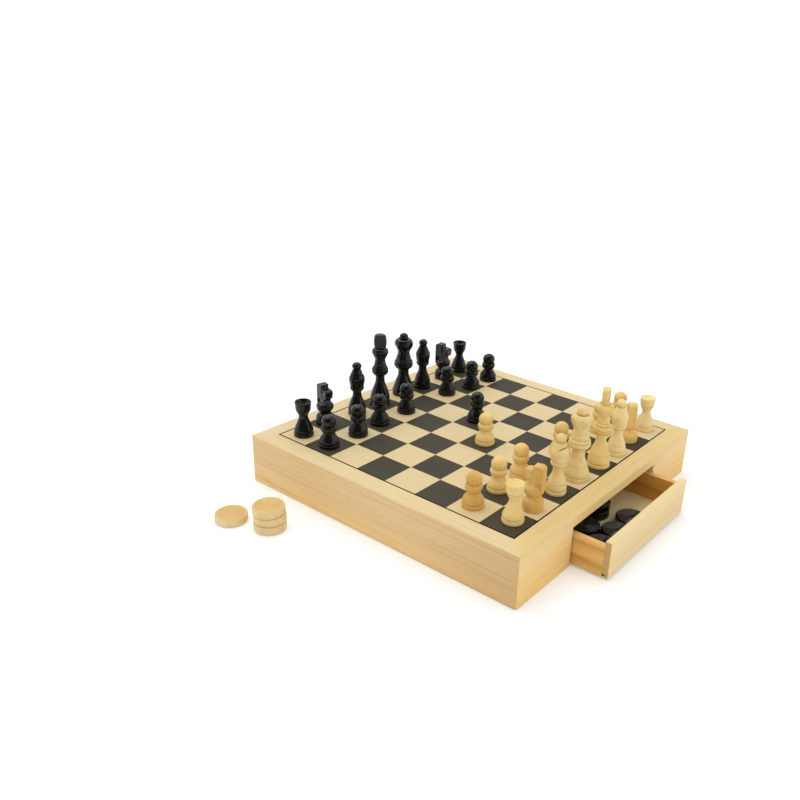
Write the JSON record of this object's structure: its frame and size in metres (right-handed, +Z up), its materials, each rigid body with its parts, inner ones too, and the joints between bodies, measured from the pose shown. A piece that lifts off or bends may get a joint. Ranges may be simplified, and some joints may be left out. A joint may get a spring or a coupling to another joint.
{
  "type": "games compendium box",
  "caption": "Square wooden games box: drop-in chequered board on top, drawers in opposite sides, turned chessmen set out on the board, draughts in a drawer and on the table.",
  "frame": {"origin": "centre of the case's underside", "axes": "+X towards the open drawer, +Y towards the rear wall that the dark queen's side faces, +Z up"},
  "size_m": [0.323, 0.3592, 0.1165],
  "materials": {
    "case_pine": "satin",
    "board_face": "satin",
    "black_print": "satin",
    "inner_pine": "matte",
    "drawer_pine": "matte",
    "thin_plywood": "matte",
    "black_lacquer": "gloss",
    "raw_beech": "matte"
  },
  "bodies": {
    "case": {"front_wall": "case_pine", "back_wall": "case_pine", "left_wall": "case_pine", "right_wall": "case_pine", "floor_panel": "thin_plywood", "centre_divider": "inner_pine", "front_guide": "inner_pine", "back_guide": "inner_pine", "board_ledges": "inner_pine"},
    "board": {"playing_board": "board_face", "chequer_print": "black_print", "morris_print": "black_print"},
    "right_drawer": {"right_drawer_front": "drawer_pine", "right_drawer_near_side": "drawer_pine", "right_drawer_far_side": "drawer_pine", "right_drawer_back": "drawer_pine", "right_drawer_bottom": "thin_plywood", "dark_draughts": "black_lacquer"},
    "left_drawer": {"left_drawer_front": "drawer_pine", "left_drawer_near_side": "drawer_pine", "left_drawer_far_side": "drawer_pine", "left_drawer_back": "drawer_pine", "left_drawer_bottom": "thin_plywood", "pale_draughts": "raw_beech"},
    "dark_rook_near": {"dark_rook_near": "black_lacquer"},
    "dark_knight_near": {"dark_knight_near": "black_lacquer"},
    "dark_bishop_near": {"dark_bishop_near": "black_lacquer"},
    "dark_king": {"dark_king": "black_lacquer"},
    "dark_queen": {"dark_queen": "black_lacquer"},
    "dark_bishop_far": {"dark_bishop_far": "black_lacquer"},
    "dark_knight_far": {"dark_knight_far": "black_lacquer"},
    "dark_rook_far": {"dark_rook_far": "black_lacquer"},
    "dark_pawn_1": {"dark_pawn_1": "black_lacquer"},
    "dark_pawn_2": {"dark_pawn_2": "black_lacquer"},
    "dark_pawn_3": {"dark_pawn_3": "black_lacquer"},
    "dark_pawn_4": {"dark_pawn_4": "black_lacquer"},
    "dark_pawn_5": {"dark_pawn_5": "black_lacquer"},
    "dark_pawn_6": {"dark_pawn_6": "black_lacquer"},
    "dark_pawn_7": {"dark_pawn_7": "black_lacquer"},
    "dark_pawn_8": {"dark_pawn_8": "black_lacquer"},
    "pale_rook_near": {"pale_rook_near": "raw_beech"},
    "pale_knight_near": {"pale_knight_near": "raw_beech"},
    "pale_bishop_near": {"pale_bishop_near": "raw_beech"},
    "pale_queen": {"pale_queen": "raw_beech"},
    "pale_king": {"pale_king": "raw_beech"},
    "pale_bishop_far": {"pale_bishop_far": "raw_beech"},
    "pale_knight_far": {"pale_knight_far": "raw_beech"},
    "pale_rook_far": {"pale_rook_far": "raw_beech"},
    "pale_pawn_1": {"pale_pawn_1": "raw_beech"},
    "pale_pawn_2": {"pale_pawn_2": "raw_beech"},
    "pale_pawn_3": {"pale_pawn_3": "raw_beech"},
    "pale_pawn_4": {"pale_pawn_4": "raw_beech"},
    "pale_pawn_5": {"pale_pawn_5": "raw_beech"},
    "pale_pawn_6": {"pale_pawn_6": "raw_beech"},
    "pale_pawn_7": {"pale_pawn_7": "raw_beech"},
    "pale_pawn_8": {"pale_pawn_8": "raw_beech"},
    "table_draught": {"table_draught": "raw_beech"},
    "stack_draught_lower": {"stack_draught_lower": "raw_beech"},
    "stack_draught_middle": {"stack_draught_middle": "raw_beech"},
    "stack_draught_upper": {"stack_draught_upper": "raw_beech"}
  },
  "joints": [
    {"name": "right_drawer_slide", "type": "slide", "parent": "case", "child": "right_drawer", "axis": [1, 0, 0], "range_m": [-0.033, 0.11]},
    {"name": "left_drawer_slide", "type": "slide", "parent": "case", "child": "left_drawer", "axis": [-1, 0, 0], "range_m": [0, 0.143]},
    {"name": "board_lift", "type": "slide", "parent": "case", "child": "board", "axis": [0, 0, 1], "range_m": [0, 0.1]},
    {"name": "dark_rook_near_lift", "type": "slide", "parent": "board", "child": "dark_rook_near", "axis": [0, 0, 1], "range_m": [0, 0.1]},
    {"name": "dark_knight_near_lift", "type": "slide", "parent": "board", "child": "dark_knight_near", "axis": [0, 0, 1], "range_m": [0, 0.1]},
    {"name": "dark_bishop_near_lift", "type": "slide", "parent": "board", "child": "dark_bishop_near", "axis": [0, 0, 1], "range_m": [0, 0.1]},
    {"name": "dark_king_lift", "type": "slide", "parent": "board", "child": "dark_king", "axis": [0, 0, 1], "range_m": [0, 0.1]},
    {"name": "dark_queen_lift", "type": "slide", "parent": "board", "child": "dark_queen", "axis": [0, 0, 1], "range_m": [0, 0.1]},
    {"name": "dark_bishop_far_lift", "type": "slide", "parent": "board", "child": "dark_bishop_far", "axis": [0, 0, 1], "range_m": [0, 0.1]},
    {"name": "dark_knight_far_lift", "type": "slide", "parent": "board", "child": "dark_knight_far", "axis": [0, 0, 1], "range_m": [0, 0.1]},
    {"name": "dark_rook_far_lift", "type": "slide", "parent": "board", "child": "dark_rook_far", "axis": [0, 0, 1], "range_m": [0, 0.1]},
    {"name": "dark_pawn_1_lift", "type": "slide", "parent": "board", "child": "dark_pawn_1", "axis": [0, 0, 1], "range_m": [0, 0.1]},
    {"name": "dark_pawn_2_lift", "type": "slide", "parent": "board", "child": "dark_pawn_2", "axis": [0, 0, 1], "range_m": [0, 0.1]},
    {"name": "dark_pawn_3_lift", "type": "slide", "parent": "board", "child": "dark_pawn_3", "axis": [0, 0, 1], "range_m": [0, 0.1]},
    {"name": "dark_pawn_4_lift", "type": "slide", "parent": "board", "child": "dark_pawn_4", "axis": [0, 0, 1], "range_m": [0, 0.1]},
    {"name": "dark_pawn_5_lift", "type": "slide", "parent": "board", "child": "dark_pawn_5", "axis": [0, 0, 1], "range_m": [0, 0.1]},
    {"name": "dark_pawn_6_lift", "type": "slide", "parent": "board", "child": "dark_pawn_6", "axis": [0, 0, 1], "range_m": [0, 0.1]},
    {"name": "dark_pawn_7_lift", "type": "slide", "parent": "board", "child": "dark_pawn_7", "axis": [0, 0, 1], "range_m": [0, 0.1]},
    {"name": "dark_pawn_8_lift", "type": "slide", "parent": "board", "child": "dark_pawn_8", "axis": [0, 0, 1], "range_m": [0, 0.1]},
    {"name": "pale_rook_near_lift", "type": "slide", "parent": "board", "child": "pale_rook_near", "axis": [0, 0, 1], "range_m": [0, 0.1]},
    {"name": "pale_knight_near_lift", "type": "slide", "parent": "board", "child": "pale_knight_near", "axis": [0, 0, 1], "range_m": [0, 0.1]},
    {"name": "pale_bishop_near_lift", "type": "slide", "parent": "board", "child": "pale_bishop_near", "axis": [0, 0, 1], "range_m": [0, 0.1]},
    {"name": "pale_queen_lift", "type": "slide", "parent": "board", "child": "pale_queen", "axis": [0, 0, 1], "range_m": [0, 0.1]},
    {"name": "pale_king_lift", "type": "slide", "parent": "board", "child": "pale_king", "axis": [0, 0, 1], "range_m": [0, 0.1]},
    {"name": "pale_bishop_far_lift", "type": "slide", "parent": "board", "child": "pale_bishop_far", "axis": [0, 0, 1], "range_m": [0, 0.1]},
    {"name": "pale_knight_far_lift", "type": "slide", "parent": "board", "child": "pale_knight_far", "axis": [0, 0, 1], "range_m": [0, 0.1]},
    {"name": "pale_rook_far_lift", "type": "slide", "parent": "board", "child": "pale_rook_far", "axis": [0, 0, 1], "range_m": [0, 0.1]},
    {"name": "pale_pawn_1_lift", "type": "slide", "parent": "board", "child": "pale_pawn_1", "axis": [0, 0, 1], "range_m": [0, 0.1]},
    {"name": "pale_pawn_2_lift", "type": "slide", "parent": "board", "child": "pale_pawn_2", "axis": [0, 0, 1], "range_m": [0, 0.1]},
    {"name": "pale_pawn_3_lift", "type": "slide", "parent": "board", "child": "pale_pawn_3", "axis": [0, 0, 1], "range_m": [0, 0.1]},
    {"name": "pale_pawn_4_lift", "type": "slide", "parent": "board", "child": "pale_pawn_4", "axis": [0, 0, 1], "range_m": [0, 0.1]},
    {"name": "pale_pawn_5_lift", "type": "slide", "parent": "board", "child": "pale_pawn_5", "axis": [0, 0, 1], "range_m": [0, 0.1]},
    {"name": "pale_pawn_6_lift", "type": "slide", "parent": "board", "child": "pale_pawn_6", "axis": [0, 0, 1], "range_m": [0, 0.1]},
    {"name": "pale_pawn_7_lift", "type": "slide", "parent": "board", "child": "pale_pawn_7", "axis": [0, 0, 1], "range_m": [0, 0.1]},
    {"name": "pale_pawn_8_lift", "type": "slide", "parent": "board", "child": "pale_pawn_8", "axis": [0, 0, 1], "range_m": [0, 0.1]},
    {"name": "table_draught_lift", "type": "slide", "parent": "case", "child": "table_draught", "axis": [0, 0, 1], "range_m": [0, 0.12]},
    {"name": "stack_draught_lower_lift", "type": "slide", "parent": "case", "child": "stack_draught_lower", "axis": [0, 0, 1], "range_m": [0, 0.12]},
    {"name": "stack_draught_middle_lift", "type": "slide", "parent": "stack_draught_lower", "child": "stack_draught_middle", "axis": [0, 0, 1], "range_m": [0, 0.12]},
    {"name": "stack_draught_upper_lift", "type": "slide", "parent": "stack_draught_middle", "child": "stack_draught_upper", "axis": [0, 0, 1], "range_m": [0, 0.12]}
  ]
}
